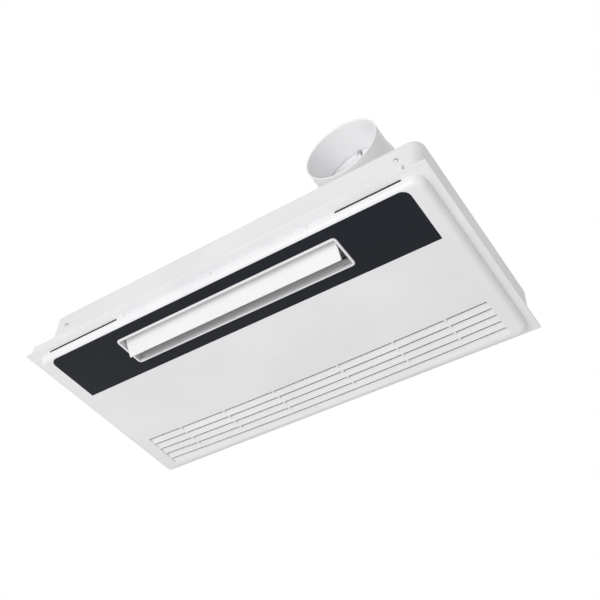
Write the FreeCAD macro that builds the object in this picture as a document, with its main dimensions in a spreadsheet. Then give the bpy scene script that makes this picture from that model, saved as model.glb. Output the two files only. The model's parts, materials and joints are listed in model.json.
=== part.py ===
import FreeCAD, Part
import math
import os

import Sketcher
from FreeCAD import Placement, Rotation, Vector

# Recessed ceiling fan, millimetres, +Z up
# Origin: middle of the ceiling opening, on the flange's upper face
# X runs along the long side, the duct leaves towards -Y

DIMENSIONS = {
    # frame
    "frame_length": 600.0,
    "frame_width": 300.0,
    "flange_thick": 3.0,
    "seat_step": 0.5,
    "lip_height": 11.0,
    "lip_thick": 2.0,
    "lip_margin": 1.0,
    "lip_end": 8.0,
    "lip_notch": 29.0,
    "window_margin": 18.0,
    "frame_screw_inset": 12.0,
    "frame_screw_left": 220.0,
    "frame_screw_right": 240.0,
    # cover
    "cover_length": 578.0,
    "cover_width": 282.0,
    "cover_depth": 11.0,
    "cover_wall": 2.5,
    "cover_corner": 15.0,
    "cover_edge_round": 8.0,
    "slit_start": 147.0,
    "right_slit_start": 180.0,
    "slit_end": 265.0,
    "slit_height": 2.2,
    "slot_front": 0.5,
    "slot_back": 3.8,
    "tab_spacing": 138.0,
    "tab_width": 9.0,
    "tab_proud": 1.2,
    "tab_height": 3.0,
    "hook_spacing": 200.0,
    "hook_width": 14.0,
    "hook_thick": 2.5,
    "hook_catch": 1.4,
    # dark band and outlet
    "band_length": 536.0,
    "band_near": 134.5,
    "band_far": 52.5,
    "band_thick": 1.2,
    "band_corner": 11.0,
    "outlet_length": 326.0,
    "outlet_width": 42.0,
    "outlet_offset": 94.5,
    "bezel_rim": 3.0,
    "bezel_proud": 1.6,
    "bezel_wall": 2.0,
    "bezel_corner": 5.0,
    "sleeve_corner": 4.0,
    "bezel_fence": 2.0,
    "fence_inset": 13.0,
    "fit_gap": 0.3,
    "receiver_x": 220.0,
    "receiver_radius": 3.0,
    "receiver_long": 24.0,
    "receiver_wide": 12.0,
    "board_thick": 1.6,
    # intake grille
    "grille_length": 532.0,
    "grille_start": 68.0,
    "slat_pitch": 13.1,
    "slat_rise": 2.4,
    "slat_gap": 4.0,
    "slat_thick": 1.8,
    "grille_bow_radius": 8100.0,
    "rib_width": 3.0,
    "rib_sunk": 0.5,
    "rib_inner": 51.0,
    "rib_middle": 134.0,
    "rib_outer": 209.0,
    # louvre vane
    "vane_end_gap": 3.0,
    "vane_near_reach": 15.6,
    "vane_far_reach": 22.4,
    "vane_drop": 11.8,
    "vane_thick": 2.4,
    "vane_open": 55.0,
    "vane_pin_radius": 2.5,
    "vane_pivot_back": 2.9,
    "vane_face_gap": 1.0,
    "vane_ease": 0.8,
    "vane_lug_radius": 4.5,
    "vane_lug_foot": 6.3,
    "vane_pin_grip": 2.5,
    "running_gap": 0.06,
    # lower casing
    "casing_left": 269.0,
    "casing_right": 293.0,
    "casing_width": 292.0,
    "casing_height": 50.0,
    "casing_corner": 15.0,
    "casing_rim": 16.0,
    "sheet": 1.2,
    "side_screw_z": 28.5,
    "nut_plate": 18.0,
    "nut_plate_thick": 2.0,
    "side_screw_end": 30.0,
    # upper casing
    "upper_left": 233.0,
    "upper_right": 252.0,
    "upper_near": 70.0,
    "upper_far": 132.0,
    "upper_top": 164.0,
    "upper_rim": 9.0,
    "foot_screw_near_left": 180.0,
    "foot_screw_near_middle": 58.0,
    "foot_screw_far_left": 155.0,
    "foot_screw_far_right": 126.0,
    "foot_screw_end": 9.0,
    "foot_screw_back": 27.0,
    "lid_bead_inset": 27.0,
    "lid_bead_spread": 101.0,
    "bead_height": 2.0,
    "bead_width": 12.0,
    "bead_round": 1.6,
    # hanger plates
    "hanger_spacing_long": 532.0,
    "hanger_spacing_short": 230.0,
    "hanger_hole_radius": 4.5,
    "hanger_plate_long": 40.0,
    "hanger_plate_short": 23.0,
    "hanger_plate_thick": 2.0,
    "hanger_plate_corner": 4.0,
    # cross-flow blower
    "crossflow_axis_y": -36.0,
    "crossflow_axis_z": 34.0,
    "crossflow_radius": 25.0,
    "crossflow_end_gap": 10.0,
    "crossflow_blades": 28.0,
    "blade_depth": 6.0,
    "blade_thick": 1.1,
    "wheel_disc": 2.0,
    "stub_radius": 4.0,
    "guide_radius": 31.0,
    "guide_shift": 3.0,
    "guide_wall": 1.5,
    "guide_knee_z": 18.0,
    "throat_clear": 4.0,
    "end_plate": 2.0,
    "end_plate_margin": 7.0,
    "end_plate_clear": 2.0,
    "end_plate_slant": 15.0,
    "tongue_lift": 4.5,
    "tongue_gap": 3.5,
    "motor_radius": 27.0,
    "motor_length": 46.0,
    "motor_shaft_radius": 3.0,
    "motor_flange": 2.0,
    "motor_band": 1.5,
    "motor_nose": 12.0,
    "motor_shoulder": 4.0,
    "shaft_tail": 2.0,
    "hub_radius": 8.0,
    "hub_length": 8.0,
    "bearing_radius": 9.0,
    "bearing_length": 8.0,
    "bearing_flange": 2.0,
    "flange_margin": 1.0,
    # swing motor
    "swing_radius": 14.0,
    "swing_length": 19.0,
    "swing_offset": 8.0,
    # exhaust blower
    "duct_x": 191.3,
    "duct_z": 103.5,
    "exhaust_y": 57.0,
    "exhaust_radius": 48.0,
    "exhaust_blades": 34.0,
    "exhaust_blade_depth": 8.0,
    "exhaust_blade_height": 50.0,
    "scroll_growth": 9.0,
    "scroll_clear": 5.0,
    "scroll_wall": 1.5,
    "scroll_gap": 1.0,
    "wheel_lift": 7.5,
    "scroll_height": 73.0,
    "tongue_inset": 7.0,
    "inlet_radius": 40.0,
    "inlet_flare": 6.0,
    "inlet_depth": 5.5,
    "exhaust_motor_radius": 26.0,
    "exhaust_motor_length": 30.0,
    "exhaust_cup_radius": 30.0,
    "exhaust_cup_depth": 25.0,
    "shaft_cover": 6.0,
    "post_inset": 18.0,
    "post_near": 24.0,
    "hanger_rubber_radius": 6.0,
    # duct spigot and damper
    "spigot_radius": 49.5,
    "spigot_wall": 2.0,
    "spigot_mouth": 148.0,
    "spigot_straight": 28.0,
    "spigot_flare": 2.2,
    "spigot_flare_length": 14.0,
    "spigot_plate_half": 58.0,
    "spigot_plate_thick": 2.5,
    "spigot_plate_top_gap": 3.0,
    "spigot_screw_inset": 6.0,
    "damper_depth": 45.0,
    "damper_pin_radius": 2.0,
    "damper_pin_proud": 1.0,
    "damper_knuckle": 18.5,
    "damper_barrel_radius": 3.6,
    "damper_edge_gap": 1.2,
    "damper_thick": 1.2,
    "damper_seat": 3.0,
    # electrical box
    "box_depth": 30.0,
    "box_width": 110.0,
    "box_height": 56.0,
    "box_wall": 2.0,
    "box_start": -40.0,
    "boss": 8.0,
    "lid_corner": 4.0,
    "wire_offset": 48.4,
    "wire_height": 39.2,
    "gland_height": 22.4,
    "terminal_pitch": 9.0,
    "terminal_depth": 11.0,
    "terminal_tall": 13.0,
    "terminal_lift": 4.0,
    "part_gap": 2.0,
    "board_lift": 23.5,
    "relay": 9.0,
    "relay_pitch": 12.6,
    "relay_tall": 14.4,
    "relay_inset": 3.0,
    "capacitor_radius": 9.0,
    "gland_radius": 9.0,
    "gland_bore": 5.0,
    "gland_length": 22.0,
    "gland_nut": 4.0,
    "gland_collar": 7.7,
    "gland_dome": 8.0,
    # screws
    "screw_radius": 1.5,
    "screw_head_radius": 3.0,
    "screw_head_height": 1.8,
    "screw_length": 5.0,
    "recess_reach": 1.7,
    "recess_width": 0.8,
    "recess_depth": 1.0,
}

doc = FreeCAD.newDocument("ceiling_fan")
sheet = doc.addObject("Spreadsheet::Sheet", "Dims")
for row, (alias, amount) in enumerate(DIMENSIONS.items(), start=1):
    sheet.set(f"A{row}", alias)
    sheet.set(f"B{row}", str(amount))
    sheet.setAlias(f"B{row}", alias)
doc.recompute()


class Size:
    """A length that carries its number and the sheet formula behind it."""

    def __init__(self, number, formula):
        self.number = number
        self.formula = formula

    def __add__(self, other):
        other = as_size(other)
        return Size(self.number + other.number, f"({self.formula} + {other.formula})")

    def __sub__(self, other):
        other = as_size(other)
        return Size(self.number - other.number, f"({self.formula} - {other.formula})")

    def __mul__(self, other):
        other = as_size(other)
        return Size(self.number * other.number, f"({self.formula} * {other.formula})")

    def __truediv__(self, other):
        other = as_size(other)
        return Size(self.number / other.number, f"({self.formula} / {other.formula})")

    def __radd__(self, other):
        return as_size(other) + self

    def __rsub__(self, other):
        return as_size(other) - self

    def __rmul__(self, other):
        return as_size(other) * self

    def __neg__(self):
        return Size(-self.number, f"(0 - {self.formula})")


def as_size(amount):
    if isinstance(amount, Size):
        return amount
    return Size(float(amount), f"({float(amount)})")


def dim(alias):
    return Size(float(sheet.get(alias)), f"Dims.{alias}")


SPINS = {
    "X": Rotation(Vector(0, 1, 0), 90),
    "-X": Rotation(Vector(0, 1, 0), -90),
    "Y": Rotation(Vector(1, 0, 0), -90),
    "-Y": Rotation(Vector(1, 0, 0), 90),
    "Z": Rotation(),
    "-Z": Rotation(Vector(1, 0, 0), 180),
}
OVERCUT = 1.0
TINY = 1e-6
SLAT_ROWS = 5
KNUCKLES = 4
TERMINALS = 4
RELAYS = 3
GUIDE_START = 75.0
GUIDE_END = 125.0
GUIDE_SLOPE = 29.5
TONGUE_ANGLE = 215.0
QUARTER = 90.0
SCROLL_STEPS = 3
MOTOR_SCREW_TURNS = (90, 210, 330)
EXHAUST_SCREW_TURNS = (30, 150, 270)
HEAD_CROWN = 0.6
HEAD_RIM = 0.45
BEZEL_EASE = 0.6
sub_parts = []


def bind(thing, prop, amount):
    thing.setExpression(prop, as_size(amount).formula)


def place(thing, point, spin=None):
    """Put an object's own origin at a point given by three sizes."""
    sizes = [as_size(value) for value in point]
    base = Vector(*[size.number for size in sizes])
    thing.Placement = Placement(base, spin if spin else Rotation())
    for axis, size in zip("xyz", sizes):
        bind(thing, f"Placement.Base.{axis}", size)
    return thing


def box(name, corner, size):
    thing = doc.addObject("Part::Box", name)
    for prop, amount in zip(("Length", "Width", "Height"), size):
        bind(thing, prop, amount)
    return place(thing, corner)


def span_box(name, low, high):
    """A box between two corners."""
    return box(name, low, [as_size(b) - a for a, b in zip(low, high)])


def cylinder(name, start, radius, length, axis="Z", angle=None, turn=0.0):
    thing = doc.addObject("Part::Cylinder", name)
    bind(thing, "Radius", radius)
    bind(thing, "Height", length)
    if angle:
        thing.Angle = angle
    return place(thing, start, SPINS[axis].multiply(Rotation(Vector(0, 0, 1), turn)))


def fuse(name, things):
    thing = doc.addObject("Part::MultiFuse", name)
    thing.Shapes = things
    return thing


def common(name, things):
    thing = doc.addObject("Part::MultiCommon", name)
    thing.Shapes = things
    return thing


def cut(name, base, tools):
    tool = tools[0] if len(tools) == 1 else fuse(name + "_tools", tools)
    thing = doc.addObject("Part::Cut", name)
    thing.Base = base
    thing.Tool = tool
    return thing


def group(name, things):
    thing = doc.addObject("Part::Compound", name)
    thing.Links = things
    return thing


def rounded(name, base, radius, chosen):
    """Round the edges of a solid that a test picks out."""
    doc.recompute()
    amount = as_size(radius).number
    picks = [i for i, edge in enumerate(base.Shape.Edges, start=1) if chosen(edge)]
    thing = doc.addObject("Part::Fillet", name)
    thing.Base = base
    thing.Edges = [(i, amount, amount) for i in picks]
    return thing


def is_upright(edge):
    return abs(edge.BoundBox.ZLength) > TINY and edge.BoundBox.XLength + edge.BoundBox.YLength < TINY


def rounded_box(name, low, high, radius):
    """A box with its four upright edges rounded."""
    return rounded(name, span_box(name + "_blank", low, high), radius, is_upright)


def plane_of(body, role):
    return [feature for feature in body.Origin.OriginFeatures if feature.Role == role][0]


def pin_vertex(sketch, line, axis, amount):
    """Tie the start of a line to the sketch origin along one axis."""
    rule = "DistanceX" if axis == 0 else "DistanceY"
    if abs(amount.number) < TINY:
        sketch.addConstraint(Sketcher.Constraint("PointOnObject", line, 1, -2 if axis == 0 else -1))
        return
    if amount.number > 0:
        index = sketch.addConstraint(Sketcher.Constraint(rule, -1, 1, line, 1, amount.number))
        sketch.setExpression(f"Constraints[{index}]", amount.formula)
        return
    index = sketch.addConstraint(Sketcher.Constraint(rule, line, 1, -1, 1, -amount.number))
    sketch.setExpression(f"Constraints[{index}]", (-amount).formula)


def polygon(body, name, role, points, offset=None):
    """A closed sketch of straight lines with every corner tied to the sheet."""
    sketch = body.newObject("Sketcher::SketchObject", name)
    sketch.AttachmentSupport = [(plane_of(body, role), "")]
    sketch.MapMode = "FlatFace"
    if offset is not None:
        sketch.AttachmentOffset = Placement(Vector(0, 0, as_size(offset).number), Rotation())
        bind(sketch, "AttachmentOffset.Base.z", offset)
    fill_polygon(sketch, points)
    return sketch


def fill_polygon(sketch, points):
    """Draw closed straight lines and tie every corner to the sheet."""
    corners = [(as_size(a), as_size(b)) for a, b in points]
    count = len(corners)
    for i, (a, b) in enumerate(corners):
        c, d = corners[(i + 1) % count]
        start = Vector(a.number, b.number, 0)
        sketch.addGeometry(Part.LineSegment(start, Vector(c.number, d.number, 0)), False)
    for i in range(count):
        sketch.addConstraint(Sketcher.Constraint("Coincident", i, 2, (i + 1) % count, 1))
    for i, (a, b) in enumerate(corners):
        pin_vertex(sketch, i, 0, a)
        pin_vertex(sketch, i, 1, b)


def ring_sketch(body, name, role, radii, offset=0.0):
    """Circles about the sketch origin."""
    sketch = body.newObject("Sketcher::SketchObject", name)
    sketch.AttachmentSupport = [(plane_of(body, role), "")]
    sketch.MapMode = "FlatFace"
    sketch.AttachmentOffset = Placement(Vector(0, 0, as_size(offset).number), Rotation())
    bind(sketch, "AttachmentOffset.Base.z", offset)
    for i, radius in enumerate(radii):
        circle = Part.Circle(Vector(0, 0, 0), Vector(0, 0, 1), as_size(radius).number)
        sketch.addGeometry(circle, False)
        sketch.addConstraint(Sketcher.Constraint("Coincident", i, 3, -1, 1))
        index = sketch.addConstraint(Sketcher.Constraint("Radius", i, as_size(radius).number))
        bind(sketch, f"Constraints[{index}]", radius)
    return sketch


def pad(body, name, sketch, length):
    thing = body.newObject("PartDesign::Pad", name)
    thing.Profile = sketch
    bind(thing, "Length", length)
    return thing


def around(body, name, feature, axis_role, count):
    """Repeat a feature evenly about one of the body's own axes."""
    thing = body.newObject("PartDesign::PolarPattern", name)
    thing.Originals = [feature]
    thing.Axis = (plane_of(body, axis_role), [""])
    thing.Angle = 360
    thing.Occurrences = int(as_size(count).number)
    body.Tip = thing
    return thing


def prism(name, role, points, length, start):
    """A straight-sided profile, extruded along the normal of its plane."""
    body = doc.addObject("PartDesign::Body", name)
    pad(body, name + "_pad", polygon(body, name + "_outline", role, points), length)
    return place(body, start)


def spin_profile(body, name, points):
    """Turn a profile of (radius, height) points about the body's Z axis."""
    sketch = polygon(body, name + "_outline", "XZ_Plane", points)
    thing = body.newObject("PartDesign::Revolution", name)
    thing.Profile = sketch
    thing.ReferenceAxis = (sketch, ["V_Axis"])
    thing.Angle = 360
    return thing


def turned(name, points, start, axis="Z"):
    body = doc.addObject("PartDesign::Body", name)
    spin_profile(body, name + "_turn", points)
    return place(body, start, SPINS[axis])


def sub_part(label, thing):
    thing.Label = label
    sub_parts.append(thing)
    return thing


def screw_holes(name, places, axis, depth):
    """Drills for a row of screws, reaching a little past both faces."""
    radius = dim("screw_radius") + dim("running_gap")
    drills = []
    for i, spot in enumerate(places):
        start = list(spot)
        along = "XYZ".index(axis[-1])
        sign = -1.0 if axis[0] == "-" else 1.0
        start[along] = as_size(start[along]) - sign * OVERCUT
        drills.append(cylinder(f"{name}_{i}", start, radius, as_size(depth) + 2 * OVERCUT, axis))
    return drills


def cross_recess(name, spot, axis):
    """Cutters for the two crossed slots in a screw's head."""
    along = "XYZ".index(axis[-1])
    sign = -1.0 if axis[0] == "-" else 1.0
    face = as_size(spot[along]) - sign * dim("screw_head_height")
    ends = [face - sign * OVERCUT, face + sign * dim("recess_depth")]
    if sign < 0:
        ends.reverse()
    half = dim("recess_width") / 2
    slots = []
    for lengthwise in range(3):
        if lengthwise == along:
            continue
        low = [as_size(value) - half for value in spot]
        high = [as_size(value) + half for value in spot]
        low[lengthwise] = as_size(spot[lengthwise]) - dim("recess_reach")
        high[lengthwise] = as_size(spot[lengthwise]) + dim("recess_reach")
        low[along], high[along] = ends
        slots.append(span_box(f"{name}_slot_{lengthwise}", low, high))
    return slots


def screws(label, rows):
    """Pan-head screws: each row holds the points under the heads and the driving direction."""
    head = dim("screw_head_radius")
    shank = dim("screw_radius")
    top = dim("screw_head_height")
    profile = [
        (0, -top),
        (head * HEAD_CROWN, -top),
        (head, -top * HEAD_RIM),
        (head, 0),
        (shank, 0),
        (shank, dim("screw_length") - shank),
        (0, dim("screw_length")),
    ]
    made = []
    for places, axis in rows:
        for spot in places:
            name = f"{label}_{len(made)}"
            blank = turned(name + "_blank", profile, spot, axis)
            made.append(cut(name, blank, cross_recess(name, spot, axis)))
    return sub_part(label, group(label + "_group", made))


# Shared places
half_length = dim("frame_length") / 2
half_width = dim("frame_width") / 2
flange_under = -dim("flange_thick")
cover_face = flange_under - dim("cover_depth")
cover_inside = cover_face + dim("cover_wall")
cover_near = -dim("cover_width") / 2
outlet_y = -dim("outlet_offset")
half_outlet = dim("outlet_length") / 2
pivot_y = outlet_y - dim("vane_pivot_back")
pivot_z = cover_face + dim("vane_drop") + dim("vane_face_gap")
casing_half = dim("casing_width") / 2
casing_low = -dim("seat_step")
deck_top = dim("casing_height")
deck_under = deck_top - dim("sheet")
upper_left = -dim("upper_left")
upper_right = dim("upper_right")
lid_under = dim("upper_top")
scroll_low = dim("duct_z") - dim("scroll_height") / 2 - dim("scroll_wall")
scroll_high = scroll_low + dim("scroll_height")
plate_x = half_outlet
throat_near = outlet_y - dim("outlet_width") / 2 - dim("throat_clear")
throat_far = outlet_y + dim("outlet_width") / 2 + dim("bezel_wall") + 2 * dim("fit_gap")
axis_y = dim("crossflow_axis_y")
axis_z = dim("crossflow_axis_z")
exit_reach = dim("exhaust_radius") + dim("scroll_clear") + dim("scroll_growth") * SCROLL_STEPS
blower_x = dim("duct_x") - (dim("tongue_inset") + exit_reach) / 2
blower_y = dim("exhaust_y")
wall_near = -dim("upper_near")
wall_far = dim("upper_far")
spigot_length = dim("spigot_mouth") - dim("upper_near")
wire_y = dim("box_start") + dim("wire_offset")
wire_z = deck_top + dim("sheet") + dim("wire_height")


def outlet_hole(name, grow, low, high, corner=None):
    """A cutter for the outlet, larger than its clear opening by grow on every side."""
    reach_x = half_outlet + grow
    reach_y = dim("outlet_width") / 2 + grow
    near_end = (-reach_x, outlet_y - reach_y, low)
    far_end = (reach_x, outlet_y + reach_y, high)
    if corner is None:
        return span_box(name, near_end, far_end)
    return rounded_box(name, near_end, far_end, corner)


def sleeve_hole(name, low, high):
    """A cutter that the bezel's sleeve passes through with a small gap."""
    gap = dim("fit_gap")
    return outlet_hole(name, dim("bezel_wall") + gap, low, high, dim("sleeve_corner") + gap)


def slit_cutters(name, front, back, low, high):
    """Cutters along the two finger slits of the cover's near wall."""
    end = dim("slit_end")
    left = span_box(name + "_left", (-end, front, low), (-dim("slit_start"), back, high))
    right = span_box(name + "_right", (dim("right_slit_start"), front, low), (end, back, high))
    return [left, right]


def finger_slots(name, low, high):
    """Cutters that carry the cover's slits on through what lies above them."""
    return slit_cutters(name, cover_near - dim("slot_front"), cover_near + dim("slot_back"), low, high)


def frame_screw_places():
    row = casing_half - dim("frame_screw_inset")
    spots = (-dim("frame_screw_left"), 0, dim("frame_screw_right"))
    return [(x, side * row, flange_under) for x in spots for side in (-1, 1)]


def make_base_frame():
    slack = dim("fit_gap")
    margin = dim("window_margin")
    plate = span_box(
        "frame_plate", (-half_length, -half_width, flange_under), (half_length, half_width, 0)
    )
    seat = rounded_box(
        "frame_seat",
        (-dim("casing_left") - slack, -casing_half - slack, casing_low),
        (dim("casing_right") + slack, casing_half + slack, OVERCUT),
        dim("casing_corner"),
    )
    window = rounded_box(
        "frame_window",
        (margin - dim("casing_left"), margin - casing_half, flange_under - OVERCUT),
        (dim("casing_right") - margin, casing_half - margin, OVERCUT),
        dim("casing_corner"),
    )
    slots = finger_slots("frame_slot", flange_under - OVERCUT, OVERCUT)
    ring = cut("frame_ring", plate, [seat, window] + slots)
    lip_outer = half_width - dim("lip_margin")
    lip_inner = lip_outer - dim("lip_thick")
    lip_left = dim("lip_end") - half_length
    near_lip = span_box(
        "near_lip",
        (lip_left, -lip_outer, casing_low),
        (half_length - dim("lip_notch"), -lip_inner, dim("lip_height")),
    )
    far_lip = span_box(
        "far_lip", (lip_left, lip_inner, casing_low), (-lip_left, lip_outer, dim("lip_height"))
    )
    whole = fuse("frame_whole", [ring, near_lip, far_lip])
    drills = screw_holes("frame_drill", frame_screw_places(), "Z", dim("flange_thick"))
    sub_part("base_frame", cut("base_frame", whole, drills))


def bowed(name, points, length):
    """Sweep a (y, z) profile along the grille's shallow arc."""
    sketch = doc.addObject("Sketcher::SketchObject", name + "_outline")
    sketch.Placement = Placement(Vector(), Rotation(Vector(1, 1, 1), 120))
    fill_polygon(sketch, points)
    radius = dim("grille_bow_radius")
    thing = doc.addObject("Part::Revolution", name)
    thing.Source = sketch
    thing.Axis = Vector(0, 0, 1)
    thing.Base = Vector(0, dim("grille_start").number - radius.number, 0)
    thing.Angle = 2 * math.degrees(math.asin(as_size(length).number / 2 / radius.number))
    thing.Symmetric = True
    thing.Solid = True
    return thing


def bow_depth(reach):
    """How far the grille's arc falls back at a distance from its middle."""
    return reach * reach / dim("grille_bow_radius") / 2


def grille_pieces():
    """The inclined slats, the short ribs that tie them across the gaps, and the two end walls."""
    start = dim("grille_start")
    pitch = dim("slat_pitch")
    gap = dim("slat_gap")
    sunk = dim("rib_sunk")
    top = cover_face + dim("slat_rise") + dim("slat_thick")
    pieces = []
    for row in range(SLAT_ROWS):
        near = start + pitch * row
        profile = [
            (near + gap, cover_face + dim("slat_rise")),
            (near + pitch, cover_face),
            (near + pitch, cover_face + dim("slat_thick")),
            (near + gap, top),
        ]
        pieces.append(bowed(f"slat_{row}", profile, dim("grille_length") + dim("cover_wall")))
    half_rib = dim("rib_width") / 2
    for i, place_name in enumerate(("rib_inner", "rib_middle", "rib_outer")):
        for side in (-1, 1):
            middle = side * dim(place_name)
            for row in range(SLAT_ROWS - 1):
                near = start + pitch * row - bow_depth(dim(place_name))
                pieces.append(
                    span_box(
                        f"rib_{i}_{'left' if side < 0 else 'right'}_{row}",
                        (middle - half_rib, near - OVERCUT, cover_face + sunk),
                        (middle + half_rib, near + gap + sunk, top),
                    )
                )
    end = dim("grille_length") / 2
    back = bow_depth(end)
    for side in (-1, 1):
        spans = (end, end + dim("cover_wall")) if side > 0 else (-end - dim("cover_wall"), -end)
        pieces.append(
            span_box(
                f"grille_end_{'left' if side < 0 else 'right'}",
                (spans[0], start - back, cover_inside - sunk),
                (spans[1], start - back + pitch * SLAT_ROWS, top),
            )
        )
    return pieces


def band_blank(name, grow, low, high):
    """The dark band's outline: round corners on the duct side, square ones on the other."""
    half = dim("band_length") / 2 + grow
    near = -dim("band_near") - grow
    far = -dim("band_far") + grow
    blank = span_box(name + "_blank", (-half, near, low), (half, far, high))
    middle = outlet_y.number
    return rounded(
        name,
        blank,
        dim("band_corner"),
        lambda edge: is_upright(edge) and edge.BoundBox.YMax < middle,
    )


def cover_shell():
    half_x = dim("cover_length") / 2
    half_y = dim("cover_width") / 2
    wall = dim("cover_wall")
    round_off = dim("cover_edge_round")
    outer = rounded_box(
        "cover_outer", (-half_x, -half_y, cover_face), (half_x, half_y, flange_under), dim("cover_corner")
    )
    floor = cover_face.number + TINY
    soft = rounded("cover_soft", outer, round_off, lambda edge: edge.BoundBox.ZMax < floor)
    inner = rounded_box(
        "cover_inner",
        (wall - half_x, wall - half_y, cover_inside),
        (half_x - wall, half_y - wall, flange_under + OVERCUT),
        dim("cover_corner") - wall,
    )
    inner_floor = cover_inside.number + TINY
    hollow = rounded("cover_hollow", inner, round_off - wall, lambda edge: edge.BoundBox.ZMax < inner_floor)
    return cut("cover_shell", soft, [hollow])


def cover_hooks():
    """Snap hooks that catch on the frame's window edge."""
    edge_y = casing_half - dim("window_margin")
    half = dim("hook_width") / 2
    outer = edge_y - dim("fit_gap")
    inner = outer - dim("hook_thick")
    near_foot = cover_inside - dim("cover_wall") / 2
    catch_low = casing_low + dim("fit_gap") / 2
    catch_high = catch_low + dim("hook_thick")
    catch = edge_y + dim("hook_catch")
    hooks = []
    for i, side in enumerate((-1, 1)):
        middle = side * dim("hook_spacing") / 2
        for j, way in enumerate((-1, 1)):
            left, right = middle - half, middle + half
            post = (inner, outer) if way > 0 else (-outer, -inner)
            tip = (inner, catch) if way > 0 else (-catch, -inner)
            foot = cover_inside if way > 0 else near_foot
            hooks.append(
                span_box(f"hook_{i}_{j}", (left, post[0], foot), (right, post[1], catch_high))
            )
            hooks.append(
                span_box(f"catch_{i}_{j}", (left, tip[0], catch_low), (right, tip[1], catch_high))
            )
    return hooks


def make_cover():
    start = dim("grille_start")
    stop = start + dim("slat_pitch") * SLAT_ROWS
    deep = cover_inside + OVERCUT
    shallow = cover_face - OVERCUT
    window = bowed(
        "grille_window",
        [(start, shallow), (stop, shallow), (stop, deep), (start, deep)],
        dim("grille_length"),
    )
    slits = slit_cutters(
        "slit",
        cover_near - OVERCUT,
        cover_near + dim("cover_wall") + OVERCUT,
        flange_under - dim("slit_height"),
        flange_under + OVERCUT,
    )
    recess = band_blank("band_recess", dim("fit_gap") / 2, shallow, cover_face + dim("band_thick"))
    hole = sleeve_hole("cover_outlet", shallow, deep)
    eye = cylinder(
        "receiver_eye",
        (dim("receiver_x"), outlet_y, cover_face),
        dim("receiver_radius") + dim("fit_gap"),
        dim("cover_wall") + OVERCUT,
    )
    opened = cut("cover_opened", cover_shell(), [window, recess, hole, eye] + slits)
    half_tab = dim("tab_width") / 2
    tabs = []
    for i in (-1, 0, 1):
        middle = dim("tab_spacing") * i
        tabs.append(
            span_box(
                f"tab_{i + 1}",
                (middle - half_tab, cover_near - dim("tab_proud"), flange_under - dim("tab_height")),
                (middle + half_tab, cover_near + dim("cover_wall"), flange_under),
            )
        )
    sub_part("cover_panel", fuse("cover_panel", [opened] + grille_pieces() + cover_hooks() + tabs))


def make_band():
    blank = band_blank("band_body", 0, cover_face, cover_face + dim("band_thick"))
    hole = sleeve_hole("band_outlet", cover_face - OVERCUT, cover_inside)
    sub_part("band_inlay", cut("band_inlay", blank, [hole]))


def make_bezel():
    low = cover_face - dim("bezel_proud")
    reach_x = half_outlet + dim("bezel_rim")
    reach_y = dim("outlet_width") / 2 + dim("bezel_rim")
    rim = rounded_box(
        "bezel_rim",
        (-reach_x, outlet_y - reach_y, low),
        (reach_x, outlet_y + reach_y, cover_face),
        dim("bezel_corner"),
    )
    under = low.number + TINY
    ease = dim("bezel_proud") * BEZEL_EASE
    soft = rounded("bezel_soft", rim, ease, lambda edge: edge.BoundBox.ZMax < under)
    sleeve = outlet_hole(
        "bezel_sleeve", dim("bezel_wall"), cover_face, cover_inside, dim("sleeve_corner")
    )
    opening = outlet_hole("bezel_opening", 0, low - OVERCUT, cover_inside + OVERCUT)
    far_face = outlet_y + dim("outlet_width") / 2
    fence_half = half_outlet - dim("fence_inset")
    fence = span_box(
        "bezel_fence",
        (-fence_half, far_face, cover_face),
        (fence_half, far_face + dim("bezel_wall"), cover_inside + dim("bezel_fence")),
    )
    ring = cut("bezel_ring", fuse("bezel_whole", [soft, sleeve]), [opening])
    sub_part("outlet_bezel", fuse("outlet_bezel", [ring, fence]))


def make_receiver():
    board_low = cover_inside
    x = dim("receiver_x")
    half_x = dim("receiver_long") / 2
    half_y = dim("receiver_wide") / 2
    board = span_box(
        "receiver_board",
        (x - half_x, outlet_y - half_y, board_low),
        (x + half_x, outlet_y + half_y, board_low + dim("board_thick")),
    )
    eye_low = cover_face + dim("band_thick") + dim("fit_gap") / 3
    eye = cylinder("receiver_lens", (x, outlet_y, eye_low), dim("receiver_radius"), board_low - eye_low)
    sub_part("ir_receiver", fuse("ir_receiver", [board, eye]))


def vane_spin():
    return Rotation(Vector(1, 0, 0), -dim("vane_open").number)


def make_vane():
    near = -dim("vane_near_reach")
    far = dim("vane_far_reach")
    low = -dim("vane_drop")
    high = low + dim("vane_thick")
    ease = dim("vane_ease")
    half = half_outlet - dim("vane_end_gap")
    blade = [
        (near, low + ease),
        (near + ease, low),
        (far - ease, low),
        (far, low + ease),
        (far, high - ease),
        (far - ease, high),
        (near + ease, high),
        (near, high - ease),
    ]
    spin = vane_spin()
    plate = prism("vane_blade", "YZ_Plane", blade, half * 2, (-half, pivot_y, pivot_z))
    plate.Placement = Placement(plate.Placement.Base, spin)
    pin = dim("vane_pin_radius")
    ear = dim("vane_lug_radius")
    foot = dim("vane_lug_foot")
    lug = [
        (-foot, low + ease),
        (foot, low + ease),
        (ear, 0),
        (ear / 2, ear),
        (-ear / 2, ear),
        (-ear, 0),
    ]
    pin_reach = dim("vane_end_gap") + dim("end_plate") + dim("vane_pin_grip")
    pieces = [plate]
    for i, side in enumerate((-1, 1)):
        thick = dim("vane_end_gap")
        x = -half if side < 0 else half - thick
        ear_body = prism(f"vane_lug_{i}", "YZ_Plane", lug, thick, (x, pivot_y, pivot_z))
        ear_body.Placement = Placement(ear_body.Placement.Base, spin)
        pieces.append(ear_body)
        start = -half - pin_reach if side < 0 else half - thick
        pieces.append(
            cylinder(f"vane_pin_{i}", (start, pivot_y, pivot_z), pin, pin_reach + thick, "X")
        )
    sub_part("louvre_vane", fuse("louvre_vane", pieces))


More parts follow.
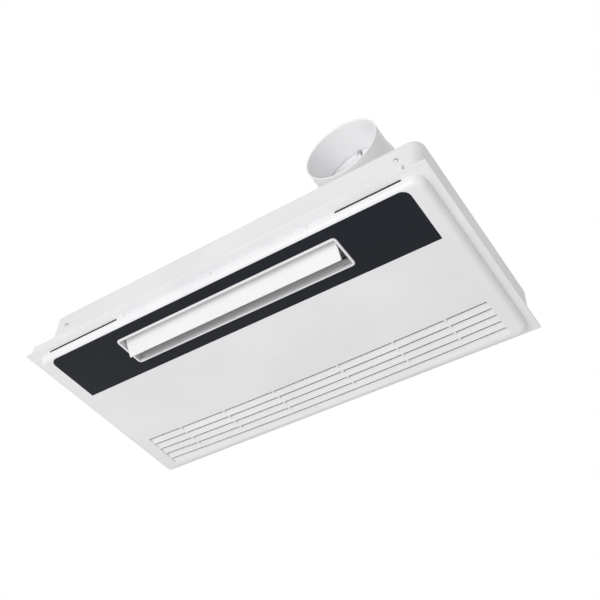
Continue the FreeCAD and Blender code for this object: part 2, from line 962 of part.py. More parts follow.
def make_scroll_ends():
    """The two plates that close the blower and carry the vane and the wheel."""
    low = cover_inside + dim("fit_gap")
    near = throat_near - dim("guide_wall")
    step = wall_near + dim("sheet") + dim("end_plate_clear")
    top = scroll_low - dim("scroll_gap")
    back = axis_y + dim("crossflow_radius") + dim("end_plate_margin")
    under = axis_z - dim("crossflow_radius") - dim("end_plate_margin")
    outline = [
        (near, low),
        (near, deck_under),
        (step, deck_under),
        (step, top),
        (back, top),
        (back, under),
        (throat_far + dim("end_plate_slant"), under),
        (throat_far + dim("guide_wall"), low),
    ]
    thick = dim("end_plate")
    gap = dim("running_gap")
    for label, start, bore in (
        ("scroll_end_left", -plate_x - thick, dim("hub_radius")),
        ("scroll_end_right", plate_x, dim("bearing_radius") + gap),
    ):
        plate = prism(label + "_plate", "YZ_Plane", outline, thick, (start, 0, 0))
        drill_start = start - OVERCUT
        drill = thick + OVERCUT * 2
        pin_hole = cylinder(
            label + "_pin", (drill_start, pivot_y, pivot_z), dim("vane_pin_radius") + gap, drill, "X"
        )
        axle_hole = cylinder(label + "_axle", (drill_start, axis_y, axis_z), bore, drill, "X")
        drills = []
        if label == "scroll_end_left":
            drills = screw_holes("motor_drill", motor_screw_places(), "X", dim("motor_flange") + thick)
        if label == "scroll_end_right":
            drills = screw_holes("swing_drill", swing_screw_places(), "-X", dim("motor_flange") + thick)
        sub_part(label, cut(label, plate, [pin_hole, axle_hole] + drills))


def make_scroll_guide():
    """The rear wall: an arc over the wheel, a sloping run and the throat's near wall."""
    length = plate_x * 2
    wall = dim("guide_wall")
    centre_y = axis_y + dim("guide_shift")
    centre_z = axis_z - dim("guide_shift")
    radius = dim("guide_radius")
    sweep = GUIDE_END - GUIDE_START
    start = (-plate_x, centre_y, centre_z)
    outer = cylinder("guide_outer", start, radius + wall, length, "X", sweep, GUIDE_START + QUARTER)
    inner_start = (-plate_x - OVERCUT, centre_y, centre_z)
    inner = cylinder("guide_inner", inner_start, radius, length + OVERCUT * 2, "X")
    arc = cut("guide_arc", outer, [inner])
    end_y = centre_y + radius * math.cos(math.radians(GUIDE_END))
    end_z = centre_z + radius * math.sin(math.radians(GUIDE_END))
    knee_z = dim("guide_knee_z")
    outer_y = throat_near - wall
    rise = wall / math.cos(math.radians(GUIDE_SLOPE))
    run = [(end_y, end_z), (outer_y, knee_z), (outer_y, knee_z + rise), (end_y, end_z + rise)]
    slope = prism("guide_slope", "YZ_Plane", run, length, (-plate_x, 0, 0))
    drop = span_box(
        "guide_drop", (-plate_x, outer_y, cover_inside), (plate_x, throat_near, knee_z + wall)
    )
    sub_part("scroll_guide", fuse("scroll_guide", [arc, slope, drop]))


def make_tongue():
    wall = dim("guide_wall")
    reach = dim("crossflow_radius") + dim("tongue_gap")
    tip_y = axis_y + reach * math.cos(math.radians(TONGUE_ANGLE))
    tip_z = axis_z + reach * math.sin(math.radians(TONGUE_ANGLE))
    low = cover_inside + dim("tongue_lift")
    bend_z = cover_inside + dim("cover_depth") + dim("bezel_rim")
    outline = [
        (throat_far, low),
        (throat_far, bend_z),
        (tip_y, tip_z),
        (tip_y + wall, tip_z - wall),
        (throat_far + wall, bend_z - wall),
        (throat_far + wall, low),
    ]
    tongue = prism("vortex_tongue", "YZ_Plane", outline, plate_x * 2, (-plate_x, 0, 0))
    sub_part("vortex_tongue", tongue)


def make_crossflow_wheel():
    radius = dim("crossflow_radius")
    half = plate_x - dim("crossflow_end_gap")
    disc = dim("wheel_disc")
    hub = dim("hub_radius")
    hub_length = dim("hub_length")
    motor_bore = dim("motor_shaft_radius") + dim("running_gap") / 3
    stub_bore = dim("stub_radius") + dim("running_gap") / 3
    length = half * 2
    body = doc.addObject("PartDesign::Body", "crossflow_wheel")
    pad(
        body,
        "first_disc",
        ring_sketch(body, "first_disc_ring", "YZ_Plane", [radius, motor_bore]),
        disc,
    )
    inner = radius - dim("blade_depth")
    thick = dim("blade_thick")
    lean = dim("blade_depth") / 3
    blade = [
        (inner, -thick / 2),
        (radius - thick, lean),
        (radius - thick, lean + thick),
        (inner, thick / 2),
    ]
    strip = pad(body, "blade", polygon(body, "blade_outline", "YZ_Plane", blade), length)
    around(body, "blades", strip, "X_Axis", dim("crossflow_blades"))
    for i in (1, 2):
        middle = length * i / 3
        pad(
            body,
            f"middle_disc_{i}",
            ring_sketch(body, f"middle_ring_{i}", "YZ_Plane", [radius, inner - disc], middle),
            disc,
        )
    pad(
        body,
        "last_disc",
        ring_sketch(body, "last_ring", "YZ_Plane", [radius, stub_bore], length - disc),
        disc,
    )
    pad(
        body,
        "motor_hub",
        ring_sketch(body, "motor_hub_ring", "YZ_Plane", [hub, motor_bore], disc),
        hub_length,
    )
    pad(
        body,
        "stub_hub",
        ring_sketch(body, "stub_hub_ring", "YZ_Plane", [hub, stub_bore], length - disc - hub_length),
        hub_length,
    )
    sub_part("crossflow_wheel", place(body, (-half, axis_y, axis_z)))
    motor_back = -plate_x - dim("end_plate") - dim("motor_length")
    shaft_start = motor_back - dim("shaft_tail")
    shaft_end = -half + disc + hub_length
    sub_part(
        "crossflow_motor_shaft",
        cylinder(
            "crossflow_motor_shaft",
            (shaft_start, axis_y, axis_z),
            dim("motor_shaft_radius"),
            shaft_end - shaft_start,
            "X",
        ),
    )
    stub_start = half - disc - hub_length
    stub_end = plate_x + dim("bearing_length")
    sub_part(
        "crossflow_stub_axle",
        cylinder(
            "crossflow_stub_axle",
            (stub_start, axis_y, axis_z),
            dim("stub_radius"),
            stub_end - stub_start,
            "X",
        ),
    )


def motor_screw_places():
    """Screws round the cross-flow motor's flange, on the flange's back face."""
    x = -plate_x - dim("end_plate") - dim("motor_flange")
    ring = dim("motor_radius") + dim("screw_head_radius") + dim("flange_margin")
    places = []
    for turn in MOTOR_SCREW_TURNS:
        angle = math.radians(turn)
        places.append((x, axis_y + ring * math.cos(angle), axis_z + ring * math.sin(angle)))
    return places


def swing_screw_places():
    x = plate_x + dim("end_plate") + dim("motor_flange")
    z = pivot_z + dim("swing_offset")
    reach = dim("swing_radius") + dim("screw_head_radius") + dim("flange_margin")
    return [(x, pivot_y - reach, z), (x, pivot_y + reach, z)]


def make_crossflow_motor():
    radius = dim("motor_radius")
    length = dim("motor_length")
    flange = dim("motor_flange")
    bore = dim("motor_shaft_radius") + dim("running_gap")
    rim = radius + dim("screw_head_radius") * 2 + dim("flange_margin") * 2
    neck = dim("motor_nose")
    band = radius + dim("motor_band")
    shoulder = dim("motor_shoulder")
    back = length - dim("motor_flange")
    profile = [
        (bore, 0),
        (rim, 0),
        (rim, flange),
        (radius, flange),
        (radius, length / 3),
        (band, length / 3),
        (band, length * 2 / 3),
        (radius, length * 2 / 3),
        (radius, back - shoulder),
        (radius - shoulder, back),
        (neck, back),
        (neck, length),
        (bore, length),
    ]
    can = turned("crossflow_can", profile, (-plate_x - dim("end_plate"), axis_y, axis_z), "-X")
    drills = screw_holes("can_drill", motor_screw_places(), "X", flange)
    sub_part("crossflow_motor", cut("crossflow_motor", can, drills))


def make_bearing():
    outer = dim("bearing_radius")
    bore = dim("stub_radius") + dim("running_gap")
    length = dim("bearing_length")
    lip = dim("end_plate")
    flange = dim("bearing_flange")
    profile = [
        (bore, 0),
        (outer, 0),
        (outer, lip),
        (outer + flange, lip),
        (outer + flange, lip + flange),
        (outer - flange, length),
        (bore, length),
    ]
    sub_part("crossflow_bearing", turned("crossflow_bearing", profile, (plate_x, axis_y, axis_z), "X"))


def make_swing_motor():
    start = plate_x + dim("end_plate")
    radius = dim("swing_radius")
    flange = dim("motor_flange")
    z = pivot_z + dim("swing_offset")
    can = cylinder("swing_can", (start, pivot_y, z), radius, dim("swing_length"), "X")
    reach = radius + dim("screw_head_radius") * 2 + dim("flange_margin") * 2
    tall = dim("screw_head_radius") + dim("flange_margin")
    ears = span_box(
        "swing_ears", (start, pivot_y - reach, z - tall), (start + flange, pivot_y + reach, z + tall)
    )
    socket = cylinder(
        "swing_socket",
        (start - OVERCUT, pivot_y, pivot_z),
        dim("vane_pin_radius") + dim("running_gap"),
        dim("vane_pin_grip") + OVERCUT * 2,
        "X",
    )
    drills = screw_holes("ear_drill", swing_screw_places(), "-X", flange)
    sub_part("swing_motor", cut("swing_motor", fuse("swing_whole", [can, ears]), [socket] + drills))


def hanger_places(z):
    middle = (dim("casing_right") - dim("casing_left")) / 2
    half_long = dim("hanger_spacing_long") / 2
    half_short = dim("hanger_spacing_short") / 2
    return [(middle + i * half_long, j * half_short, z) for i in (-1, 1) for j in (-1, 1)]


def upper_screw_places():
    """Screws through the upper casing's foot flange into the deck."""
    z = deck_top + dim("sheet")
    edge = dim("upper_rim") / 2
    left = upper_left - edge
    right = upper_right + edge
    near = wall_near - edge
    far = wall_far + edge
    side_near = wall_near + dim("foot_screw_end")
    side_far = wall_far - dim("foot_screw_back")
    places = [(-dim(name), near, z) for name in ("foot_screw_near_left", "foot_screw_near_middle")]
    places += [(x, far, z) for x in (-dim("foot_screw_far_left"), dim("foot_screw_far_right"))]
    places += [(x, y, z) for x in (left, right) for y in (side_near, side_far)]
    return places


def side_screw_places(side):
    """Screws in one long side wall of the lower casing."""
    z = dim("side_screw_z")
    left = dim("side_screw_end") - dim("casing_left")
    right = dim("casing_right") - dim("side_screw_end")
    return [(x, side * casing_half, z) for x in (left, right)]


def make_lower_casing():
    """Four wall panels with an inward rim, the long ones with the corners, and the deck plate on top."""
    left = -dim("casing_left")
    right = dim("casing_right")
    wall = dim("sheet")
    corner = dim("casing_corner")
    rim = dim("casing_rim")
    outer = rounded_box(
        "casing_outer", (left, -casing_half, casing_low), (right, casing_half, deck_under), corner
    )
    inner = rounded_box(
        "casing_inner",
        (left + wall, wall - casing_half, casing_low + wall),
        (right - wall, casing_half - wall, deck_under + OVERCUT),
        corner - wall,
    )
    mouth = rounded_box(
        "casing_mouth",
        (left + rim, rim - casing_half, casing_low - OVERCUT),
        (right - rim, casing_half - rim, casing_low + wall + OVERCUT),
        corner - wall,
    )
    holes = screw_holes("rim_drill", frame_screw_places(), "Z", dim("flange_thick") + wall)
    holes += screw_holes("near_side_drill", side_screw_places(-1), "Y", wall)
    holes += screw_holes("far_side_drill", side_screw_places(1), "-Y", wall)
    holes += finger_slots("rim_slot", casing_low - OVERCUT, casing_low + wall + OVERCUT)
    walls = cut("casing_walls", outer, [inner, mouth] + holes)
    seam = casing_half - rim
    regions = {
        "near": ((left, -casing_half), (right, -seam)),
        "far": ((left, seam), (right, casing_half)),
        "left": ((left, -seam), (0, seam)),
        "right": ((0, -seam), (right, seam)),
    }
    for side, (low, high) in regions.items():
        region = span_box(f"casing_region_{side}", (*low, casing_low), (*high, deck_under))
        sub_part(f"lower_casing_{side}", common(f"lower_casing_{side}", [walls, region]))
    plate = rounded_box(
        "deck_plate", (left, -casing_half, deck_under), (right, casing_half, deck_top), corner
    )
    well = span_box(
        "deck_opening",
        (upper_left + wall, wall_near + wall, deck_under - OVERCUT),
        (upper_right - wall, wall_far - wall, deck_top + OVERCUT),
    )
    holes = [
        cylinder(f"deck_hanger_{i}", spot, dim("hanger_hole_radius"), wall + OVERCUT * 2)
        for i, spot in enumerate(hanger_places(deck_under - OVERCUT))
    ]
    holes += screw_holes("deck_drill", upper_screw_places(), "-Z", wall * 2)
    sub_part("casing_deck", cut("casing_deck", plate, [well] + holes))


def make_nut_plates():
    """Backing plates inside the long walls, one behind each side screw."""
    half = dim("nut_plate") / 2
    thick = dim("nut_plate_thick")
    plates = []
    for side, axis in ((-1, "Y"), (1, "-Y")):
        face = casing_half - dim("sheet")
        lo, hi = (face - thick, face) if side > 0 else (-face, thick - face)
        for i, (x, _, z) in enumerate(side_screw_places(side)):
            name = f"nut_plate_{'near' if side < 0 else 'far'}_{i}"
            blank = span_box(name + "_blank", (x - half, lo, z - half), (x + half, hi, z + half))
            drill = screw_holes(name + "_drill", [(x, side * casing_half, z)], axis, dim("sheet") + thick)
            plates.append(cut(name, blank, drill))
    sub_part("nut_plates", group("nut_plate_group", plates))


def make_hanger_plates():
    half_x = dim("hanger_plate_short") / 2
    half_y = dim("hanger_plate_long") / 2
    thick = dim("hanger_plate_thick")
    plates = []
    for i, (x, y, z) in enumerate(hanger_places(deck_top)):
        blank = rounded_box(
            f"hanger_{i}_sheet",
            (x - half_x, y - half_y, z),
            (x + half_x, y + half_y, z + thick),
            dim("hanger_plate_corner"),
        )
        hole = cylinder(
            f"hanger_{i}_hole", (x, y, z - OVERCUT), dim("hanger_hole_radius"), thick + OVERCUT * 2
        )
        plates.append(cut(f"hanger_{i}", blank, [hole]))
    sub_part("hanger_plates", group("hanger_plate_group", plates))


def lid_screw_places():
    z = lid_under + dim("sheet")
    edge = dim("upper_rim") / 2
    middle = (upper_left + upper_right) / 2
    near = [(x, wall_near + edge, z) for x in (upper_left + edge, middle, upper_right - edge)]
    far = [(x, wall_far + edge, z) for x in (upper_left - edge, middle, upper_right - edge)]
    return near + far


def spigot_screw_places():
    y = wall_near - dim("spigot_plate_thick")
    inset = dim("spigot_screw_inset")
    reach = dim("spigot_plate_half") - inset
    low, high = spigot_plate_span()
    return [(dim("duct_x") + i * reach, y, z) for i in (-1, 1) for z in (low + inset, high - inset)]


def spigot_plate_span():
    """Lower and upper edge of the spigot's base plate."""
    low = dim("duct_z") - dim("spigot_radius") - dim("spigot_flare")
    return low, lid_under - dim("spigot_plate_top_gap")


def wire_hole(name, start_x, length):
    return cylinder(name, (start_x, wire_y, wire_z), dim("gland_bore"), length, "X")


def make_upper_casing():
    """Four folded panels, each a wall with a foot flange and a top flange under the lid."""
    wall = dim("sheet")
    rim = dim("upper_rim")
    foot_top = deck_top + wall
    fold = lid_under - wall
    near_in = wall_near + wall
    far_in = wall_far - wall
    wide_left = upper_left - rim
    wide_right = upper_right + rim
    panels = {
        "near": [
            ((upper_left, wall_near, deck_top), (upper_right, near_in, lid_under)),
            ((wide_left, wall_near - rim, deck_top), (wide_right, wall_near, foot_top)),
            ((upper_left + wall, wall_near, fold), (upper_right - wall, wall_near + rim, lid_under)),
        ],
        "far": [
            ((upper_left, far_in, deck_top), (upper_right, wall_far, lid_under)),
            ((wide_left, wall_far, deck_top), (wide_right, wall_far + rim, foot_top)),
            ((wide_left, wall_far, fold), (upper_right, wall_far + rim, lid_under)),
        ],
        "left": [
            ((upper_left, near_in, deck_top), (upper_left + wall, far_in, lid_under)),
            ((wide_left, wall_near, deck_top), (upper_left, wall_far, foot_top)),
            ((wide_left, wall_near, fold), (upper_left, wall_far, lid_under)),
        ],
        "right": [
            ((upper_right - wall, near_in, deck_top), (upper_right, far_in, lid_under)),
            ((upper_right, wall_near, deck_top), (wide_right, wall_far, foot_top)),
            ((upper_right - rim, wall_near + rim, fold), (upper_right, far_in, lid_under)),
        ],
    }
    exit_left, exit_right = exit_span()
    window = span_box(
        "exit_window",
        (exit_left, wall_near - OVERCUT, scroll_low + dim("scroll_wall")),
        (exit_right, near_in + OVERCUT, scroll_high),
    )
    drills = screw_holes("foot_drill", upper_screw_places(), "-Z", wall)
    drills += screw_holes("top_drill", lid_screw_places(), "-Z", wall * 2)
    near_holes = screw_holes("wall_drill", spigot_screw_places(), "Y", dim("spigot_plate_thick") + wall)
    own_holes = {
        "near": [window] + near_holes,
        "left": [wire_hole("wall_wire_hole", upper_left - OVERCUT, wall + OVERCUT * 2)],
    }
    for side, spans in panels.items():
        label = f"upper_casing_{side}"
        folds = [span_box(f"{label}_fold_{i}", low, high) for i, (low, high) in enumerate(spans)]
        holes = drills + own_holes.get(side, [])
        sub_part(label, cut(label, fuse(label + "_sheet", folds), holes))


def make_top_plate():
    wall = dim("sheet")
    top = lid_under + wall
    rim = dim("upper_rim")
    plate = span_box(
        "lid_sheet", (upper_left - rim, wall_near, lid_under), (upper_right, wall_far + rim, top)
    )
    pieces = [plate]
    crest = (top + dim("bead_height")).number - TINY

    def is_crest(edge):
        return edge.BoundBox.ZMin > crest

    half = dim("bead_width") / 2
    inset = dim("lid_bead_inset")
    for i, side in enumerate((-1, 1)):
        y = (wall_near + wall_far) / 2 + side * dim("lid_bead_spread") / 2
        blank = span_box(
            f"bead_{i}_blank",
            (upper_left + inset, y - half, top - wall / 2),
            (upper_right - inset, y + half, top + dim("bead_height")),
        )
        pieces.append(rounded(f"bead_{i}", blank, dim("bead_round"), is_crest))
    drills = screw_holes("lid_drill", lid_screw_places(), "-Z", wall)
    sub_part("top_plate", cut("top_plate", fuse("lid_whole", pieces), drills))


def exit_span():
    """The blower outlet's two side faces, as X values."""
    return blower_x + dim("tongue_inset"), blower_x + exit_reach


def scroll_blank(name, grow, low, high):
    """The blower housing's plan, a four-centre spiral running into a straight outlet."""
    step = dim("scroll_growth")
    half = step / 2
    base = dim("exhaust_radius") + dim("scroll_clear") + grow
    left, right = blower_x - half, blower_x + half
    near, far = blower_y - half, blower_y + half
    tall = as_size(high) - low
    exit_left, exit_right = exit_span()
    floor_y = far - base - half
    arcs = [
        (left, far, base + half, QUARTER * 2),
        (right, far, base + half + step, QUARTER),
        (right, near, base + half + step * 2, 0),
    ]
    pieces = [
        cylinder(f"{name}_arc_{i}", (x, y, low), radius, tall, "Z", QUARTER, turn)
        for i, (x, y, radius, turn) in enumerate(arcs)
    ]
    outlet_end = wall_near + dim("sheet")
    pieces.append(span_box(name + "_side", (left, floor_y, low), (exit_right + grow, near, high)))
    pieces.append(span_box(name + "_middle", (left, near, low), (right, far, high)))
    pieces.append(
        span_box(name + "_outlet", (exit_left - grow, outlet_end, low), (exit_right + grow, near, high))
    )
    return fuse(name, pieces)


def exhaust_screw_places():
    ring = dim("exhaust_motor_radius") + dim("screw_head_radius") + dim("running_gap")
    z = scroll_high + dim("scroll_wall")
    places = []
    for turn in EXHAUST_SCREW_TURNS:
        angle = math.radians(turn)
        places.append((blower_x + ring * math.cos(angle), blower_y + ring * math.sin(angle), z))
    return places


def make_exhaust_housing():
    wall = dim("scroll_wall")
    outer = scroll_blank("scroll_outer", wall, scroll_low, scroll_high)
    inner = scroll_blank("scroll_inner", 0, scroll_low + wall, scroll_high + OVERCUT)
    slot_left, slot_right = exit_span()
    outlet_end = wall_near + dim("sheet")
    mouth = span_box(
        "scroll_mouth",
        (slot_left, outlet_end - OVERCUT, scroll_low + wall),
        (slot_right, outlet_end + OVERCUT, scroll_high + OVERCUT),
    )
    inlet = cylinder(
        "scroll_inlet",
        (blower_x, blower_y, scroll_low - OVERCUT),
        dim("inlet_radius"),
        wall + OVERCUT * 2,
    )
    sub_part("exhaust_scroll", cut("exhaust_scroll", outer, [inner, mouth, inlet]))
    lid = scroll_blank("scroll_lid", wall, scroll_high, scroll_high + wall)
    drills = screw_holes("scroll_lid_drill", exhaust_screw_places(), "-Z", wall)
    sub_part("scroll_cover", cut("scroll_cover", lid, drills))
    mouth_radius = dim("inlet_radius")
    flare = dim("inlet_flare")
    deep = dim("inlet_depth")
    profile = [
        (mouth_radius, 0),
        (mouth_radius + flare / 3, -deep / 2),
        (mouth_radius + flare, -deep),
        (mouth_radius + flare, wall - deep),
        (mouth_radius + flare / 3 + wall, wall - deep / 2),
        (mouth_radius + flare, -wall),
        (mouth_radius + flare, 0),
    ]
    sub_part("inlet_ring", turned("inlet_ring", profile, (blower_x, blower_y, scroll_low)))


def make_exhaust_wheel():
    """A forward-curved blade cage, carried by a drive cup that leaves room for the motor."""
    radius = dim("exhaust_radius")
    inner = radius - dim("exhaust_blade_depth")
    tall = dim("exhaust_blade_height")
    disc = dim("wheel_disc")
    cup = dim("exhaust_cup_radius")
    cup_floor = tall - dim("exhaust_cup_depth")
    seat = dim("motor_shaft_radius") + dim("running_gap") / 3
    hub = dim("hub_radius")
    hub_low = cup_floor - dim("hub_length")
    low = scroll_low + dim("scroll_wall") + dim("wheel_lift")
    drive = doc.addObject("PartDesign::Body", "exhaust_cup")
    spin_profile(
        drive,
        "cup_and_plate",
        [
            (seat, hub_low),
            (hub, hub_low),
            (hub, cup_floor),
            (cup + disc, cup_floor),
            (cup + disc, tall),
            (radius, tall),
            (radius, tall + disc),
            (cup, tall + disc),
            (cup, cup_floor + disc),
            (hub, cup_floor + disc),
            (hub, cup_floor + disc * 2),
            (seat, cup_floor + disc * 2),
        ],
    )
    sub_part("exhaust_cup", place(drive, (blower_x, blower_y, low)))
    body = doc.addObject("PartDesign::Body", "exhaust_wheel")
    thick = dim("blade_thick")
    outline = [
        (inner, -thick / 2),
        (radius - thick, disc),
        (radius - thick, disc + thick),
        (inner, thick / 2),
    ]
    sketch = polygon(body, "scoop_outline", "XY_Plane", outline, disc / 2)
    strip = pad(body, "scoop", sketch, tall - disc / 2)
    around(body, "scoops", strip, "Z_Axis", dim("exhaust_blades"))
    lip = inner - disc
    spin_profile(body, "inlet_band", [(lip, 0), (radius, 0), (radius, disc), (lip, disc)])
    sub_part("exhaust_wheel", place(body, (blower_x, blower_y, low)))
    shaft_low = low + hub_low
    shaft_high = scroll_high - dim("shaft_cover")
    sub_part(
        "exhaust_motor_shaft",
        cylinder(
            "exhaust_motor_shaft",
            (blower_x, blower_y, shaft_low),
            dim("motor_shaft_radius"),
            shaft_high - shaft_low,
        ),
    )


def make_exhaust_motor():
    radius = dim("exhaust_motor_radius")
    length = dim("exhaust_motor_length")
    flange = dim("motor_flange")
    bore = dim("motor_shaft_radius") + dim("running_gap")
    rim = radius + dim("screw_head_radius") * 2
    shaft_end = dim("shaft_cover") - OVERCUT
    shoulder = dim("motor_shoulder")
    profile = [
        (0, 0),
        (rim, 0),
        (rim, -flange),
        (radius, -flange),
        (radius, shoulder - length),
        (radius - shoulder, -length),
        (bore, -length),
        (bore, -shaft_end),
        (0, -shaft_end),
    ]
    can = turned("exhaust_can", profile, (blower_x, blower_y, scroll_high))
    drills = screw_holes("exhaust_can_drill", exhaust_screw_places(), "-Z", dim("scroll_wall") + flange)
    sub_part("exhaust_motor", cut("exhaust_motor", can, drills))


def make_scroll_posts():
    """Rubber posts that hang the exhaust blower from the top plate."""
    low = scroll_high + dim("scroll_wall")
    radius = dim("hanger_rubber_radius")
    exit_left, exit_right = exit_span()
    spots = [
        (blower_x - dim("exhaust_radius"), blower_y),
        (blower_x, blower_y + dim("exhaust_radius")),
        (exit_right - dim("post_inset"), blower_y),
        ((exit_left + exit_right) / 2, wall_near + dim("post_near")),
    ]
    posts = [
        cylinder(f"scroll_post_{i}", (x, y, low), radius, lid_under - low) for i, (x, y) in enumerate(spots)
    ]
    sub_part("scroll_posts", group("scroll_post_group", posts))


def damper_place(z=None):
    """A point on the damper's hinge line."""
    y = dim("damper_depth") - dim("spigot_mouth")
    return (dim("duct_x"), y, dim("duct_z") if z is None else z)


def make_spigot():
    radius = dim("spigot_radius")
    bore = radius - dim("spigot_wall")
    wide = radius + dim("spigot_flare")
    straight = spigot_length - dim("spigot_straight")
    seat_top = spigot_length - dim("damper_depth") - dim("damper_thick")
    seat_low = seat_top - dim("spigot_wall")
    seat = bore - dim("damper_seat")
    ease = dim("spigot_wall") / 3
    profile = [
        (bore, 0),
        (wide, 0),
        (wide, straight - dim("spigot_flare_length")),
        (radius, straight),
        (radius, spigot_length),
        (bore + ease, spigot_length),
        (bore, spigot_length - ease),
        (bore, seat_top),
        (seat, seat_top),
        (seat, seat_low),
        (bore, seat_low),
    ]
    x, _, z = damper_place()
    tube = turned("spigot_tube", profile, (x, wall_near, z), "-Y")
    half = dim("spigot_plate_half")
    thick = dim("spigot_plate_thick")
    low, high = spigot_plate_span()
    plate = span_box("spigot_plate", (x - half, wall_near - thick, low), (x + half, wall_near, high))
    throat = cylinder("spigot_throat", (x, wall_near + OVERCUT, z), bore, thick + OVERCUT * 2, "-Y")
    drills = screw_holes("spigot_drill", spigot_screw_places(), "Y", thick)
    base = cut("spigot_base", plate, [throat] + drills)
    pin_low = z - wide - OVERCUT
    pin_hole = cylinder(
        "spigot_pin_hole",
        damper_place(pin_low),
        dim("damper_pin_radius") + dim("running_gap"),
        (wide + OVERCUT) * 2,
    )
    sub_part("duct_spigot", cut("duct_spigot", fuse("spigot_whole", [tube, base]), [pin_hole]))
    pin_reach = wide + dim("damper_pin_proud")
    sub_part(
        "damper_pin",
        cylinder("damper_pin", damper_place(z - pin_reach), dim("damper_pin_radius"), pin_reach * 2),
    )


def make_flap(label, side):
    """One half of the butterfly damper with two knuckles on the shared pin."""
    x, y, z = damper_place()
    reach = dim("spigot_radius") - dim("spigot_wall") - dim("damper_edge_gap")
    thick = dim("damper_thick")
    disc = cylinder(label + "_disc", (x, y - thick / 2, z), reach, thick, "Y")
    lo, hi = (x, x + reach) if side > 0 else (x - reach, x)
    half = span_box(label + "_half", (lo, y - thick, z - reach), (hi, y + thick, z + reach))
    leaf = common(label + "_leaf", [disc, half])
    knuckle = dim("damper_knuckle")
    barrel = dim("damper_barrel_radius")
    gap = dim("fit_gap")
    base = z - knuckle * KNUCKLES / 2
    own = []
    clear = []
    for i in range(KNUCKLES):
        low = base + knuckle * i
        if (i % 2 == 0) == (side > 0):
            own.append(cylinder(f"{label}_knuckle_{i}", (x, y, low + gap / 2), barrel, knuckle - gap))
        else:
            clear.append(cylinder(f"{label}_notch_{i}", (x, y, low - gap / 2), barrel + gap, knuckle + gap))
    bottom = z - reach - OVERCUT
    spare = base - bottom
    clear.append(cylinder(label + "_edge_low", (x, y, bottom), barrel + gap, spare))
    clear.append(cylinder(label + "_edge_high", (x, y, z * 2 - base), barrel + gap, spare))
    bore_radius = dim("damper_pin_radius") + dim("running_gap")
    bore = cylinder(label + "_bore", (x, y, bottom), bore_radius, (reach + OVERCUT) * 2)
    notched = cut(label + "_notched", leaf, clear)
    sub_part(label, cut(label, fuse(label + "_whole", [notched] + own), [bore]))


def box_corner():
    """Lowest corner of the electrical box."""
    return upper_left - dim("box_depth"), dim("box_start"), deck_top + dim("sheet")


def terminal_screw_places():
    x, y, z = box_corner()
    inset = dim("box_wall") + dim("boss") / 2
    x = x - dim("box_wall")
    return [
        (x, y + inset, z + inset),
        (x, y + dim("box_width") - inset, z + dim("box_height") - inset),
    ]


def gland_place():
    x, y, z = box_corner()
    return x + dim("box_depth") / 2, y + dim("box_width"), z + dim("gland_height")


def make_terminal_box():
    x, y, z = box_corner()
    wall = dim("box_wall")
    deep = dim("box_depth")
    end_y = y + dim("box_width")
    end_z = z + dim("box_height")
    outer = span_box("tray_outer", (x, y, z), (x + deep, end_y, end_z))
    inner = span_box(
        "tray_inner", (x - OVERCUT, y + wall, z + wall), (x + deep - wall, end_y - wall, end_z - wall)
    )
    boss_half = dim("boss") / 2
    bosses = []
    for i, (_, by, bz) in enumerate(terminal_screw_places()):
        bosses.append(
            span_box(
                f"tray_boss_{i}",
                (x, by - boss_half, bz - boss_half),
                (x + deep - wall, by + boss_half, bz + boss_half),
            )
        )
    whole = fuse("tray_whole", [cut("tray", outer, [inner])] + bosses)
    gx, gy, gz = gland_place()
    drill = wall + OVERCUT * 2
    neck_radius = gland_neck() + dim("fit_gap")
    neck = cylinder("gland_hole", (gx, gy - wall - OVERCUT, gz), neck_radius, drill, "Y")
    wires = wire_hole("tray_wire_hole", upper_left - wall - OVERCUT, drill)
    drills = screw_holes("tray_drill", terminal_screw_places(), "X", dim("screw_length") + wall)
    sub_part("terminal_box", cut("terminal_box", whole, [neck, wires] + drills))
    lid = rounded(
        "tray_lid",
        span_box("tray_lid_blank", (x - wall, y, z), (x, end_y, end_z)),
        dim("lid_corner"),
        lambda edge: edge.BoundBox.YLength + edge.BoundBox.ZLength < TINY,
    )
    lid_drills = screw_holes("tray_lid_drill", terminal_screw_places(), "X", wall)
    sub_part("terminal_box_cover", cut("terminal_box_cover", lid, lid_drills))


def gland_neck():
    return dim("gland_bore") + dim("box_wall")


def make_gland():
    wall = dim("box_wall")
    bore = dim("gland_bore")
    neck = gland_neck()
    nut = dim("gland_radius")
    length = dim("gland_length")
    back = -wall - dim("gland_nut")
    front = length + back
    collar = dim("gland_collar")
    dome = dim("gland_dome")
    profile = [
        (bore, back),
        (nut, back),
        (nut, -wall),
        (neck, -wall),
        (neck, 0),
        (nut, 0),
        (nut, collar),
        (dome, collar),
        (dome, front - wall),
        (dome - wall, front),
        (bore, front),
    ]
    sub_part("cable_gland", turned("cable_gland", profile, gland_place(), "Y"))


